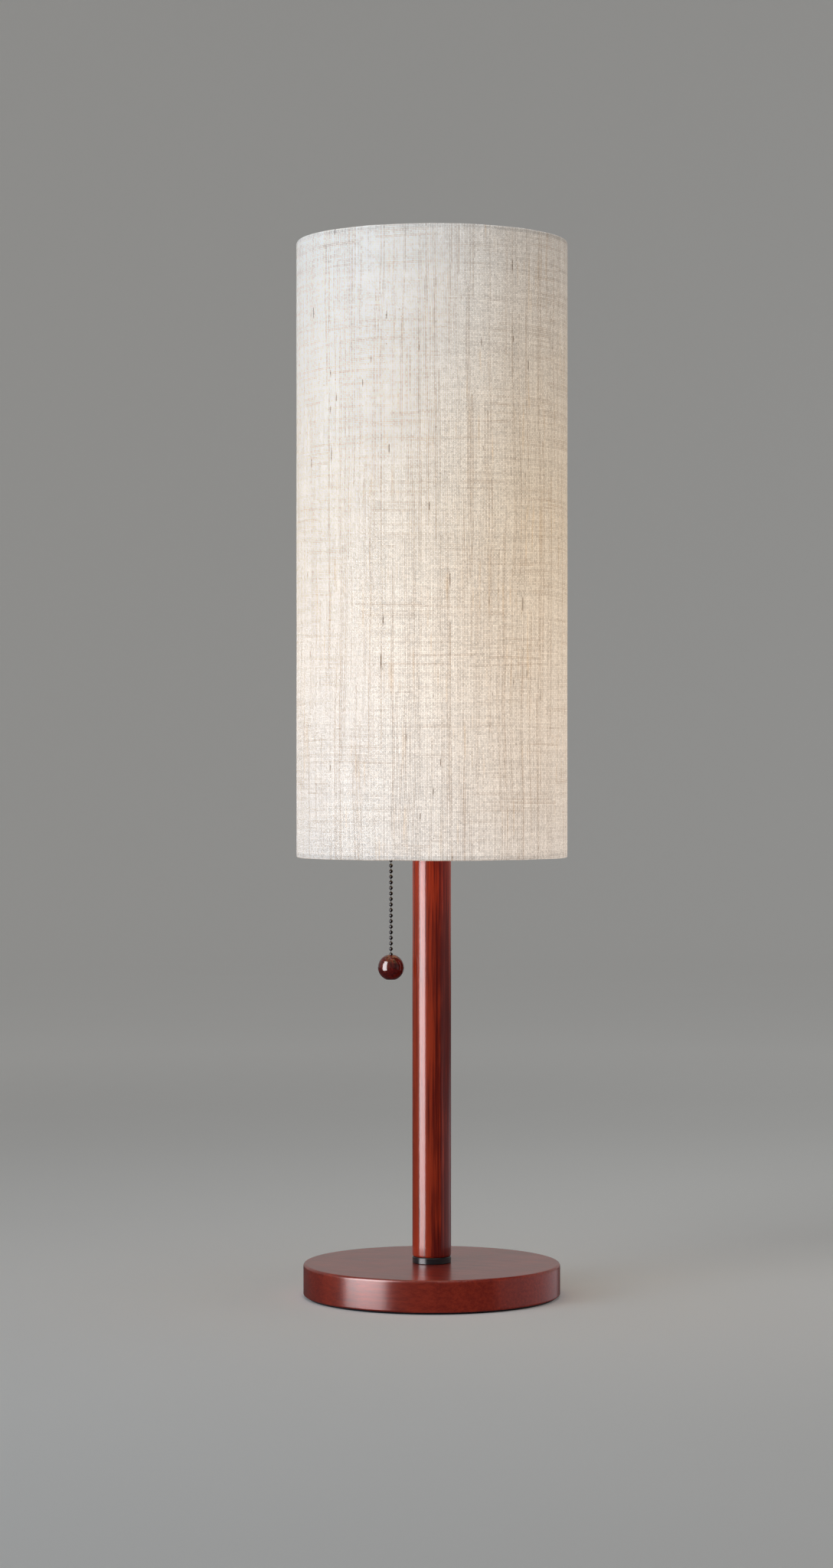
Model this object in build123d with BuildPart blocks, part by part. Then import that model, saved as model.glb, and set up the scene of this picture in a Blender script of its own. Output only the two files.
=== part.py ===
"""Table lamp: a turned wooden column on a round base, under a tall cloth drum shade, with a pull chain.

Millimetres, +Z up. The origin is on the table under the middle of the base, and the lamp's front faces -Y.
"""

import os
from math import asin, atan2, cos, degrees, hypot, pi, sin, sqrt, tan

from build123d import *

# Overall sizes
lamp_height = 787.0
base_diameter = 192.0
base_height = 25.0
pole_diameter = 29.0
collar_height = 5.0
shade_diameter = 203.0
shade_height = 459.0
chain_offset = 30.5
ball_diameter = 19.5

# Clearances between neighbouring pieces
glue_gap = 0.05
thread_gap = 0.05
running_gap = 0.05
slip_gap = 0.2

# Base: felt, weight and cord inlet
felt_thickness = 1.5
felt_inset = 3.0
base_top_round = 2.0
base_foot_round = 1.2
base_rim_width = 18.0
base_roof = 8.5
weight_thickness = 6.0
weight_inset = 1.0
weight_screw_radius = 1.6
weight_screw_head = 3.4
weight_screw_bite = 6.0
weight_screw_count = 3
weight_screw_turn = 30
inlet_height = 7.2
inlet_bore = 2.9
bushing_wall = 0.95
bushing_flange = 5.8
bushing_flange_thickness = 1.8

# Threaded tube that clamps the column, with its nuts and washers
pipe_radius = 4.85
pipe_bore = 3.3
pipe_drill = 5.4
pipe_tail = 2.0
nut_flats = 16.0
nut_height = 4.5
washer_radius = 12.0
washer_thickness = 1.5
collar_edge = 0.5
pole_foot_round = 1.6
pole_cap_thickness = 2.0
pole_cap_overhang = 0.8

# Harp: saddle, bow, ferrules, stud and finial
harp_rise = 303.0
harp_wire = 1.6
harp_half_width = 52.0
harp_foot = 28.5
harp_leg_straight = 38.0
harp_flare_height = 50.0
harp_bend = 20.0
saddle_thickness = 1.6
saddle_width = 14.0
saddle_tab_width = 5.0
saddle_tab_height = 13.0
ferrule_height = 14.0
ferrule_wall = 0.7
stud_radius = 3.1
stud_collar_radius = 8.0
stud_collar_thickness = 1.5
stud_length = 12.0
finial_height = 24.0
finial_radius = 7.0
finial_neck = 4.4
finial_foot = 8.0
finial_foot_thickness = 2.0
finial_hole_depth = 14.0

# Shade: cloth, liner, hoops and spider
cloth_thickness = 0.5
liner_thickness = 0.5
hoop_thickness = 1.5
hoop_height = 6.0
top_hem_depth = 34.0
bottom_hem_depth = 9.0
spider_drop = 43.0
spider_wire = 1.6
spider_arm_count = 3
hub_radius = 12.0
hub_thickness = 1.5

# Socket and its switch case
neck_radius = 9.0
neck_height = 8.0
neck_screw_radius = 1.5
case_radius = 20.0
nose_radius = 6.5
case_wall = 1.8
case_floor = 2.0
case_height = 24.0
case_round = 2.0
lid_thickness = 3.0
skirt_radius = 17.0
skirt_wall = 2.6
skirt_height = 26.0
shell_wall = 0.4
shell_bore = 13.4
shell_height = 22.0
shell_flange_hole = 9.0
case_screw_radius = 1.3
case_screw_head = 2.3
case_screw_back = 19.0
case_screw_side = 8.5
case_post_wall = 0.9

# Pull switch inside the case
pull_travel = 8.0
pivot_offset = 8.5
pivot_height = 14.0
pin_radius = 1.2
lever_sheet = 0.6
lever_half_width = 3.2
lever_tip_half_width = 2.4
lever_ear = 2.4
lever_ear_gap = 0.3
block_depth = 13.0
block_back = 13.0
block_front = 5.0
block_half_width = 8.0
block_nose_half_width = 2.2
terminal_radius = 1.4
terminal_head = 2.6
terminal_spacing = 8.0
spring_sheet = 0.4
spring_half_width = 1.8
contact_sheet = 0.6
contact_half_width = 2.5
contact_rise = 3.4

# Pull chain and ball
bead_radius = 1.6
bead_pitch = 4.15
bead_bands = 4
link_radius = 0.4
guided_bead_count = 7
hanging_bead_count = 49
guide_bore = 2.3
guide_wall = 0.6
guide_lip = 2.0
guide_flange = 4.2
ball_bore = 1.85
ball_countersink = 3.0
ball_pocket = 3.3
ball_pocket_depth = 5.2
stop_thickness = 0.7

# Bulb
bulb_radius = 30.0
bulb_neck = 12.5
bulb_throat = 45.0
bulb_height = 107.0
bulb_wall = 1.0
bulb_cap_radius = 13.0
bulb_cap_wall = 0.35
bulb_cap_height = 20.0
bulb_tip_radius = 4.7
bulb_tip_height = 1.2
bulb_cone_height = 3.4
bulb_cone_radius = 11.8

# Levels and radii worked out from the sizes above
base_radius = base_diameter / 2
pole_radius = pole_diameter / 2
shade_radius = shade_diameter / 2
ball_radius = ball_diameter / 2
recess_radius = base_radius - base_rim_width
recess_top = base_height - base_roof
weight_low = recess_top - weight_thickness
base_washer_low = weight_low - washer_thickness
base_nut_low = base_washer_low - nut_height
pipe_low = base_nut_low - pipe_tail
collar_top = base_height + collar_height

shade_bottom = lamp_height - shade_height
hub_low = lamp_height - spider_drop
harp_flat = hub_low - stud_collar_thickness
harp_top = harp_flat - harp_wire / 2
saddle_top = harp_top - harp_rise
saddle_low = saddle_top - saddle_thickness
pole_top = saddle_low - pole_cap_thickness
neck_low = saddle_top + nut_height
case_low = neck_low + neck_height
case_floor_top = case_low + case_floor
case_top = case_low + case_height
lid_top = case_top + lid_thickness

pivot_z = case_low + pivot_height
lever_reach = chain_offset - pivot_offset
lever_lift = pull_travel / 2
lever_tilt = atan2(lever_lift, lever_reach)
lever_arm = hypot(lever_lift, lever_reach)
top_bead = pivot_z + lever_lift + bead_pitch / 2
knuckle = top_bead - guided_bead_count * bead_pitch
guide_mouth = knuckle + bead_radius / 2
hanging_top = knuckle - bead_pitch
last_bead = hanging_top - (hanging_bead_count - 1) * bead_pitch
stop_top = last_bead + bead_pitch / 2 + stop_thickness / 2
ball_middle = stop_top + ball_radius - ball_pocket_depth
bulb_low = lid_top + contact_rise

# Planes and axes that several pieces share
pull_plane = Plane(origin=(-chain_offset, 0, 0), x_dir=(1, 0, 0), z_dir=(0, -1, 0))
pull_axis = Axis((-chain_offset, 0, 0), (0, 0, 1))
pivot = (-pivot_offset, 0, pivot_z)
lever_run = (-cos(lever_tilt), 0, sin(lever_tilt))
lever_up = (sin(lever_tilt), 0, cos(lever_tilt))
lever_plane = Plane(origin=pivot, x_dir=lever_run, z_dir=lever_up)
ear_plane = Plane(origin=pivot, x_dir=lever_run, z_dir=(0, 1, 0))
weight_screw_ring = recess_radius / 2
case_screw_places = [(-case_screw_back, side * case_screw_side) for side in (-1, 1)]


def hex_nut(low):
    """A hexagon nut on the tube, its lower face at the given height."""
    with BuildPart() as nut:
        with BuildSketch(Plane.XY.offset(low)):
            RegularPolygon(nut_flats / 2, 6, major_radius=False)
            Circle(pipe_radius + thread_gap, mode=Mode.SUBTRACT)
        extrude(amount=nut_height)
        chamfer(nut.edges().filter_by(GeomType.LINE).filter_by(Axis.Z), nut_height / 20)
    return nut


def round_plate(radius, hole, low, high):
    """A flat round plate with a hole in its middle, between two heights."""
    with BuildPart() as plate:
        with BuildSketch(Plane.XY.offset(low)):
            Circle(radius)
            Circle(hole, mode=Mode.SUBTRACT)
        extrude(amount=high - low)
    return plate


def case_plan(inset=0.0):
    """Plan of the switch case: a round body and a smaller round nose with their common tangents."""
    with BuildSketch() as plan:
        Circle(case_radius - inset)
        with Locations((-chain_offset, 0)):
            Circle(nose_radius - inset)
        make_hull()
    return plan.sketch


def bead_run(first, count, stub_up, stub_down):
    """Half outline of a run of linked beads: each bead in a few cone bands, with a stub at each end."""
    start = asin(link_radius / bead_radius)
    step = (pi - 2 * start) / bead_bands
    points = [(0, first + bead_radius + stub_up), (link_radius, first + bead_radius + stub_up)]
    for bead in range(count):
        middle = first - bead * bead_pitch
        for band in range(bead_bands + 1):
            angle = start + band * step
            points.append((bead_radius * sin(angle), middle + bead_radius * cos(angle)))
    last = first - (count - 1) * bead_pitch
    points += [(link_radius, last - bead_radius - stub_down), (0, last - bead_radius - stub_down)]
    return points


def bead_chain(first, count, stub_up, stub_down):
    """A run of beads turned about the chain's own line."""
    with BuildPart() as chain:
        with BuildSketch(pull_plane):
            with BuildLine():
                Polyline(*bead_run(first, count, stub_up, stub_down), close=True)
            make_face()
        revolve(axis=pull_axis)
    return chain


def bulb_outline(inset):
    """Half outline of the bulb: a round head, a hollow throat arc tangent to it, and a straight neck."""
    neck = bulb_neck - inset
    head = bulb_radius - inset
    throat = bulb_throat + inset
    middle = bulb_low + bulb_height - bulb_radius
    throat_x = neck + throat
    throat_z = middle - sqrt((head + throat) ** 2 - throat_x**2)
    meet = degrees(atan2(throat_z - middle, throat_x))
    low = bulb_low + bulb_tip_height + bulb_cone_height + bulb_cap_wall + bulb_cap_height / 2
    with BuildSketch(Plane.XZ) as outline:
        with BuildLine():
            Line((0, low), (neck, low))
            Line((neck, low), (neck, throat_z))
            CenterArc((throat_x, throat_z), throat, 180, meet)
            CenterArc((0, middle), head, meet, 90 - meet)
            Line((0, middle + head), (0, low))
        make_face()
    return outline.sketch


# Base
with BuildPart() as base_felt:
    with BuildSketch():
        Circle(base_radius - felt_inset)
    extrude(amount=felt_thickness)
base_felt.part.label = "base_felt"

with BuildPart() as base_disc:
    with BuildSketch(Plane.XY.offset(felt_thickness)):
        Circle(base_radius)
    extrude(amount=base_height - felt_thickness)
    fillet(base_disc.edges().group_by(Axis.Z)[-1], base_top_round)
    fillet(base_disc.edges().group_by(Axis.Z)[0], base_foot_round)
    with BuildSketch(Plane.XY.offset(felt_thickness)):
        Circle(recess_radius)
    extrude(amount=recess_top - felt_thickness, mode=Mode.SUBTRACT)
    with BuildSketch(Plane.XY.offset(recess_top)):
        Circle(pipe_drill)
    extrude(amount=base_roof, mode=Mode.SUBTRACT)
    with BuildSketch(Plane.XY.offset(recess_top)):
        with PolarLocations(weight_screw_ring, weight_screw_count, weight_screw_turn):
            Circle(weight_screw_radius + thread_gap)
    extrude(amount=weight_screw_bite + slip_gap, mode=Mode.SUBTRACT)
    with BuildSketch(Plane(origin=(0, 0, inlet_height), x_dir=(1, 0, 0), z_dir=(0, 1, 0))):
        Circle(inlet_bore + bushing_wall + glue_gap)
    extrude(amount=base_radius, mode=Mode.SUBTRACT)
base_disc.part.label = "base_disc"

with BuildPart() as base_weight:
    with BuildSketch(Plane.XY.offset(weight_low)):
        Circle(recess_radius - weight_inset)
        Circle(pipe_drill, mode=Mode.SUBTRACT)
        with PolarLocations(weight_screw_ring, weight_screw_count, weight_screw_turn):
            Circle(weight_screw_radius + slip_gap, mode=Mode.SUBTRACT)
    extrude(amount=weight_thickness)
base_weight.part.label = "base_weight"

with BuildPart() as weight_screws:
    with BuildSketch(Plane.XY.offset(weight_low)):
        with PolarLocations(weight_screw_ring, weight_screw_count, weight_screw_turn):
            Circle(weight_screw_radius)
    extrude(amount=weight_thickness + weight_screw_bite)
    with BuildSketch(Plane.XY.offset(weight_low)):
        with PolarLocations(weight_screw_ring, weight_screw_count, weight_screw_turn):
            Circle(weight_screw_head)
    extrude(amount=-weight_screw_radius)
    chamfer(weight_screws.edges().group_by(Axis.Z)[0], weight_screw_radius / 3)
weight_screws.part.label = "weight_screws"

base_washer = round_plate(washer_radius, pipe_radius + slip_gap, base_washer_low, weight_low)
base_washer.part.label = "base_washer"

base_nut = hex_nut(base_nut_low)
base_nut.part.label = "base_nut"

with BuildPart() as cord_bushing:
    with BuildSketch(Plane(origin=(0, recess_radius, inlet_height), x_dir=(1, 0, 0), z_dir=(0, 1, 0))):
        Circle(inlet_bore + bushing_wall)
    extrude(amount=base_rim_width)
    with BuildSketch(Plane(origin=(0, base_radius, inlet_height), x_dir=(1, 0, 0), z_dir=(0, 1, 0))):
        Circle(bushing_flange)
    extrude(amount=bushing_flange_thickness)
    fillet(cord_bushing.edges().group_by(Axis.Y)[-1], bushing_flange_thickness / 2)
    with BuildSketch(Plane(origin=(0, recess_radius, inlet_height), x_dir=(1, 0, 0), z_dir=(0, 1, 0))):
        Circle(inlet_bore)
    extrude(amount=base_rim_width + bushing_flange_thickness, mode=Mode.SUBTRACT)
cord_bushing.part.label = "cord_bushing"

# Column
with BuildPart() as pole_collar:
    with BuildSketch(Plane.XY.offset(base_height)):
        Circle(pole_radius)
        Circle(pipe_drill, mode=Mode.SUBTRACT)
    extrude(amount=collar_height)
    chamfer(pole_collar.edges().filter_by(GeomType.CIRCLE).group_by(SortBy.RADIUS)[-1], collar_edge)
pole_collar.part.label = "pole_collar"

with BuildPart() as pole:
    with BuildSketch(Plane.XY.offset(collar_top)):
        Circle(pole_radius)
    extrude(amount=pole_top - collar_top)
    fillet(pole.edges().group_by(Axis.Z)[0], pole_foot_round)
    fillet(pole.edges().group_by(Axis.Z)[-1], pole_foot_round / 2)
    with BuildSketch(Plane.XY.offset(collar_top)):
        Circle(pipe_drill)
    extrude(amount=pole_top - collar_top, mode=Mode.SUBTRACT)
pole.part.label = "pole"

with BuildPart() as lamp_pipe:
    with BuildSketch(Plane.XY.offset(pipe_low)):
        Circle(pipe_radius)
        Circle(pipe_bore, mode=Mode.SUBTRACT)
    extrude(amount=case_floor_top - pipe_low)
lamp_pipe.part.label = "lamp_pipe"

with BuildPart() as pole_cap:
    with BuildSketch(Plane.XY.offset(pole_top)):
        Circle(pole_radius + pole_cap_overhang)
        Circle(pipe_radius + slip_gap, mode=Mode.SUBTRACT)
    extrude(amount=pole_cap_thickness)
    fillet(pole_cap.edges().group_by(Axis.Z)[-1].group_by(SortBy.RADIUS)[-1], pole_cap_thickness / 2)
pole_cap.part.label = "pole_cap"

# Harp
with BuildPart() as harp_saddle:
    with BuildSketch(Plane.XY.offset(saddle_low)):
        SlotOverall(2 * (harp_foot + saddle_width / 2), saddle_width, rotation=90)
        Circle(pipe_radius + slip_gap, mode=Mode.SUBTRACT)
    extrude(amount=saddle_thickness)
    with BuildSketch(Plane.XY.offset(saddle_top)):
        for side in (-1, 1):
            with Locations((0, side * (harp_foot - harp_wire - saddle_thickness / 2 - running_gap))):
                Rectangle(saddle_tab_width, saddle_thickness)
    extrude(amount=saddle_tab_height)
harp_saddle.part.label = "harp_saddle"

saddle_nut = hex_nut(saddle_top)
saddle_nut.part.label = "saddle_nut"

with BuildPart() as harp_bow:
    with BuildLine(Plane.YZ) as harp_path:
        leg = FilletPolyline(
            (harp_foot, saddle_top),
            (harp_foot, saddle_top + harp_leg_straight),
            (harp_half_width, saddle_top + harp_leg_straight + harp_flare_height),
            (harp_half_width, harp_top - harp_half_width),
            radius=harp_bend,
        )
        TangentArc(leg @ 1, (0, harp_top), tangent=leg % 1)
        mirror(about=Plane.XZ)
    with BuildSketch(Plane.XY.offset(saddle_top)):
        with Locations((0, harp_foot)):
            Circle(harp_wire)
    sweep(path=harp_path.wire())
    with BuildSketch(Plane.XY.offset(harp_flat)):
        Circle(stud_collar_radius + harp_wire)
    extrude(amount=harp_wire, mode=Mode.SUBTRACT)
harp_bow.part.label = "harp_bow"


def harp_ferrule(side):
    """A sleeve that holds one leg of the bow against its tab, and slides up the leg to free it."""
    middle = side * (harp_foot - saddle_thickness / 2)
    bore = hypot(saddle_thickness / 2 + harp_wire + running_gap, saddle_tab_width / 2) + slip_gap
    with BuildPart() as sleeve:
        with BuildSketch(Plane.XY.offset(saddle_top)):
            with Locations((0, middle)):
                Circle(bore + ferrule_wall)
                Circle(bore, mode=Mode.SUBTRACT)
        extrude(amount=ferrule_height)
    return sleeve


front_ferrule = harp_ferrule(-1)
front_ferrule.part.label = "front_ferrule"

back_ferrule = harp_ferrule(1)
back_ferrule.part.label = "back_ferrule"

with BuildPart() as harp_stud:
    with BuildSketch(Plane.XY.offset(harp_flat)):
        Circle(stud_collar_radius)
    extrude(amount=stud_collar_thickness)
    with BuildSketch(Plane.XY.offset(hub_low)):
        Circle(stud_radius)
    extrude(amount=hub_thickness + stud_length)
    chamfer(harp_stud.edges().group_by(Axis.Z)[-1], stud_radius / 6)
harp_stud.part.label = "harp_stud"

with BuildPart() as finial:
    finial_low = hub_low + hub_thickness + running_gap
    finial_ball = finial_low + finial_height - finial_radius
    neck_z = finial_ball - sqrt(finial_radius**2 - finial_neck**2)
    with BuildSketch(Plane.XZ):
        with BuildLine():
            Polyline(
                (0, finial_low),
                (finial_foot, finial_low),
                (finial_foot, finial_low + finial_foot_thickness),
            )
            waist = (finial_neck, (finial_low + finial_foot_thickness + neck_z) / 2)
            Line((finial_foot, finial_low + finial_foot_thickness), waist)
            Line(waist, (finial_neck, neck_z))
            CenterArc(
                (0, finial_ball),
                finial_radius,
                degrees(atan2(neck_z - finial_ball, finial_neck)),
                90 - degrees(atan2(neck_z - finial_ball, finial_neck)),
            )
            Line((0, finial_ball + finial_radius), (0, finial_low))
        make_face()
    revolve(axis=Axis.Z)
    with BuildSketch(Plane.XY.offset(finial_low)):
        Circle(stud_radius + thread_gap)
    extrude(amount=finial_hole_depth, mode=Mode.SUBTRACT)
finial.part.label = "finial"

# Shade
fold_radius = cloth_thickness / 2 + glue_gap + hoop_thickness / 2
fold_middle = shade_radius - cloth_thickness / 2 - fold_radius
fold_top = lamp_height - cloth_thickness / 2 - fold_radius
fold_bottom = shade_bottom + cloth_thickness / 2 + fold_radius
hoop_outer = fold_middle + hoop_thickness / 2
hoop_inner = fold_middle - hoop_thickness / 2

with BuildPart() as shade_cloth:
    with BuildSketch(Plane.XZ):
        with BuildLine():
            over = CenterArc((fold_middle, fold_top), fold_radius, 180, -180)
            under = CenterArc((fold_middle, fold_bottom), fold_radius, 0, -180)
            Line((fold_middle - fold_radius, lamp_height - top_hem_depth), over @ 0)
            Line(over @ 1, under @ 0)
            Line(under @ 1, (fold_middle - fold_radius, shade_bottom + bottom_hem_depth))
        trace(line_width=cloth_thickness)
    revolve(axis=Axis.Z)
shade_cloth.part.label = "shade_cloth"

with BuildPart() as shade_liner:
    liner_outer = shade_radius - cloth_thickness - glue_gap
    with BuildSketch(Plane.XY.offset(fold_bottom + hoop_height + slip_gap)):
        Circle(liner_outer)
        Circle(liner_outer - liner_thickness, mode=Mode.SUBTRACT)
    extrude(amount=fold_top - fold_bottom - 2 * (hoop_height + slip_gap))
shade_liner.part.label = "shade_liner"


def shade_hoop(low):
    """A flat steel hoop that keeps one end of the shade round."""
    with BuildPart() as hoop:
        with BuildSketch(Plane.XY.offset(low)):
            Circle(hoop_outer)
            Circle(hoop_inner, mode=Mode.SUBTRACT)
        extrude(amount=hoop_height)
    return hoop


top_hoop = shade_hoop(fold_top - hoop_height)
top_hoop.part.label = "top_hoop"

bottom_hoop = shade_hoop(fold_bottom)
bottom_hoop.part.label = "bottom_hoop"

spider_hub = round_plate(hub_radius, stud_radius + slip_gap, hub_low, hub_low + hub_thickness)
spider_hub.part.label = "spider_hub"

arm_end = hoop_inner - cloth_thickness - 2 * glue_gap
arm_low = hub_low + hub_thickness / 2
arm_high = fold_top - hoop_height / 2
arm_spare = 2 * spider_wire


def arm_plane(turn):
    """The plane across one arm of the spider where it leaves the hub, at an angle round the lamp."""
    run = (cos(turn) * (arm_end - hub_radius), sin(turn) * (arm_end - hub_radius), arm_high - arm_low)
    return Plane(origin=(hub_radius * cos(turn), hub_radius * sin(turn), arm_low), z_dir=run)


with BuildPart() as spider_arms:
    arm_turns = [pi / 2 + 2 * pi * arm / spider_arm_count for arm in range(spider_arm_count)]
    with BuildSketch(*[arm_plane(turn).offset(-arm_spare) for turn in arm_turns]):
        Circle(spider_wire)
    extrude(amount=hypot(arm_high - arm_low, arm_end - hub_radius) + 2 * arm_spare)
    with BuildSketch(Plane.XY.offset(hub_low - arm_spare)):
        Circle(arm_end)
        Circle(hub_radius, mode=Mode.SUBTRACT)
    extrude(amount=lamp_height - hub_low, mode=Mode.INTERSECT)
spider_arms.part.label = "spider_arms"

# Socket
with BuildPart() as switch_case:
    with BuildSketch(Plane.XY.offset(case_low)):
        add(case_plan())
    extrude(amount=case_height)
    fillet(switch_case.edges().group_by(Axis.Z)[0], case_round)
    with BuildSketch(Plane.XY.offset(case_floor_top)):
        add(case_plan(case_wall))
    extrude(amount=case_height, mode=Mode.SUBTRACT)
    with BuildSketch(Plane.XY.offset(case_floor_top)):
        with Locations(*case_screw_places):
            Circle(case_screw_radius + case_post_wall)
    extrude(amount=case_height - case_floor)
    with BuildSketch(Plane.XY.offset(neck_low)):
        Circle(neck_radius)
    extrude(amount=neck_height)
    with BuildSketch(Plane.XY.offset(neck_low)):
        Circle(pipe_radius + thread_gap)
    extrude(amount=neck_height + case_floor, mode=Mode.SUBTRACT)
    with BuildSketch(Plane.XY.offset(case_low)):
        with Locations((-chain_offset, 0)):
            Circle(guide_bore + guide_wall + glue_gap)
    extrude(amount=case_floor, mode=Mode.SUBTRACT)
    with BuildSketch(Plane.XY.offset(case_top)):
        with Locations(*case_screw_places):
            Circle(case_screw_radius + thread_gap)
    extrude(amount=-case_height + 2 * case_floor, mode=Mode.SUBTRACT)
    with BuildSketch(Plane.YZ):
        with Locations((0, neck_low + neck_height / 2)):
            Circle(neck_screw_radius + thread_gap)
    extrude(amount=neck_radius, mode=Mode.SUBTRACT)
switch_case.part.label = "switch_case"

with BuildPart() as neck_screw:
    with BuildSketch(Plane.YZ.offset(pipe_radius + running_gap)):
        with Locations((0, neck_low + neck_height / 2)):
            Circle(neck_screw_radius)
    extrude(amount=neck_radius - pipe_radius)
neck_screw.part.label = "neck_screw"

with BuildPart() as socket_shell:
    with BuildSketch(Plane.XY.offset(case_top)):
        add(case_plan())
        Circle(contact_half_width, mode=Mode.SUBTRACT)
        with Locations(*case_screw_places):
            Circle(case_screw_radius + slip_gap, mode=Mode.SUBTRACT)
    extrude(amount=lid_thickness)
    with BuildSketch(Plane.XY.offset(lid_top)):
        Circle(skirt_radius)
        Circle(skirt_radius - skirt_wall, mode=Mode.SUBTRACT)
    extrude(amount=skirt_height)
    fillet(socket_shell.edges().group_by(Axis.Z)[-1], skirt_wall / 4)
socket_shell.part.label = "socket_shell"

with BuildPart() as case_screws:
    with BuildSketch(Plane.XY.offset(lid_top)):
        with Locations(*case_screw_places):
            Circle(case_screw_head)
    extrude(amount=case_screw_radius)
    chamfer(case_screws.edges().group_by(Axis.Z)[-1], case_screw_radius / 3)
    with BuildSketch(Plane.XY.offset(lid_top)):
        with Locations(*case_screw_places):
            Circle(case_screw_radius)
    extrude(amount=case_floor_top + 2 * case_floor - lid_top)
case_screws.part.label = "case_screws"

with BuildPart() as screw_shell:
    with BuildSketch(Plane.XY.offset(lid_top)):
        Circle(shell_bore + shell_wall)
        Circle(shell_flange_hole, mode=Mode.SUBTRACT)
    extrude(amount=shell_wall)
    with BuildSketch(Plane.XY.offset(lid_top)):
        Circle(shell_bore + shell_wall)
        Circle(shell_bore, mode=Mode.SUBTRACT)
    extrude(amount=shell_height)
screw_shell.part.label = "screw_shell"

with BuildPart() as centre_contact:
    with BuildSketch(Plane.XZ):
        with BuildLine():
            FilletPolyline(
                (-2 * contact_half_width, lid_top + contact_sheet / 2),
                (2 * contact_half_width, lid_top + contact_sheet / 2),
                (-contact_half_width, lid_top + contact_rise - glue_gap - contact_sheet),
                radius=contact_sheet,
            )
        trace(line_width=contact_sheet)
    extrude(amount=contact_half_width, both=True)
    with BuildSketch(Plane.XY.offset(case_top)):
        Circle(contact_half_width - slip_gap)
    extrude(amount=lid_thickness)
centre_contact.part.label = "centre_contact"

# Pull switch
with BuildPart() as switch_block:
    with BuildSketch(Plane.XY.offset(case_top)):
        with Locations(((block_back - block_front) / 2, 0)):
            Rectangle(block_back + block_front, 2 * block_half_width)
    extrude(amount=-block_depth)
    chamfer(switch_block.edges().filter_by(Axis.Z), case_round / 2)
    with BuildSketch(Plane.XZ):
        with Locations((-pivot_offset, pivot_z)):
            Circle(lever_ear)
        with Locations((-(pivot_offset + block_front) / 2, pivot_z)):
            Rectangle(pivot_offset - block_front, 2 * lever_ear)
    extrude(amount=block_nose_half_width, both=True)
    with BuildSketch(Plane.XZ):
        with Locations((-pivot_offset, pivot_z)):
            Circle(pin_radius + running_gap)
    extrude(amount=block_half_width, both=True, mode=Mode.SUBTRACT)
    with BuildSketch(Plane.XY.offset(case_top - block_depth)):
        with Locations(((block_back - block_front) / 2, 0)):
            with GridLocations(0, terminal_spacing, 1, 2):
                Circle(terminal_radius + thread_gap)
    extrude(amount=block_depth / 2, mode=Mode.SUBTRACT)
switch_block.part.label = "switch_block"

with BuildPart() as terminal_screws:
    with BuildSketch(Plane.XY.offset(case_top - block_depth)):
        with Locations(((block_back - block_front) / 2, 0)):
            with GridLocations(0, terminal_spacing, 1, 2):
                Circle(terminal_head)
    extrude(amount=-terminal_radius)
    with BuildSketch(Plane.XY.offset(case_top - block_depth)):
        with Locations(((block_back - block_front) / 2, 0)):
            with GridLocations(0, terminal_spacing, 1, 2):
                Circle(terminal_radius)
    extrude(amount=block_depth / 3)
terminal_screws.part.label = "terminal_screws"

with BuildPart() as lever_pin:
    with BuildSketch(Plane.XZ):
        with Locations((-pivot_offset, pivot_z)):
            Circle(pin_radius)
    extrude(amount=lever_half_width + pin_radius, both=True)
lever_pin.part.label = "lever_pin"

with BuildPart() as pull_lever:
    web_start = lever_ear + 2 * lever_ear_gap + pin_radius
    web_end = lever_arm + lever_tip_half_width
    with BuildSketch(lever_plane.offset(-lever_sheet / 2)):
        with BuildLine():
            Polyline(
                (web_start, lever_half_width),
                (web_end, lever_tip_half_width),
                (web_end, -lever_tip_half_width),
                (web_start, -lever_half_width),
                close=True,
            )
        make_face()
        with Locations((lever_arm - 2 * link_radius, 0)):
            Circle(link_radius + slip_gap, mode=Mode.SUBTRACT)
            Rectangle(
                2 * lever_tip_half_width + 2 * link_radius,
                2 * (link_radius + slip_gap),
                align=(Align.MIN, Align.CENTER),
                mode=Mode.SUBTRACT,
            )
    extrude(amount=lever_sheet)
    ear_inner = block_nose_half_width + lever_ear_gap
    for side in (-1, 1):
        with BuildSketch(ear_plane.offset(side * (ear_inner + lever_half_width) / 2)):
            Circle(lever_ear)
            Rectangle(3 * lever_ear, 2 * lever_ear, align=(Align.MIN, Align.CENTER))
            Circle(pin_radius + running_gap, mode=Mode.SUBTRACT)
        extrude(amount=(lever_half_width - ear_inner) / 2, both=True)
pull_lever.part.label = "pull_lever"

with BuildPart() as lever_spring:
    spring_front = chain_offset - guide_flange - 2 * spring_sheet
    spring_heel = pivot_offset + 2 * lever_ear + spring_sheet
    spring_rise = (spring_front - pivot_offset) * tan(lever_tilt) - lever_sheet - spring_sheet
    with BuildSketch(Plane.XZ):
        with BuildLine():
            FilletPolyline(
                (-spring_front, case_floor_top + spring_sheet / 2),
                (-spring_heel, case_floor_top + spring_sheet / 2),
                (-spring_front, pivot_z + spring_rise),
                radius=2 * spring_sheet,
            )
        trace(line_width=spring_sheet)
    extrude(amount=spring_half_width, both=True)
lever_spring.part.label = "lever_spring"

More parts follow.
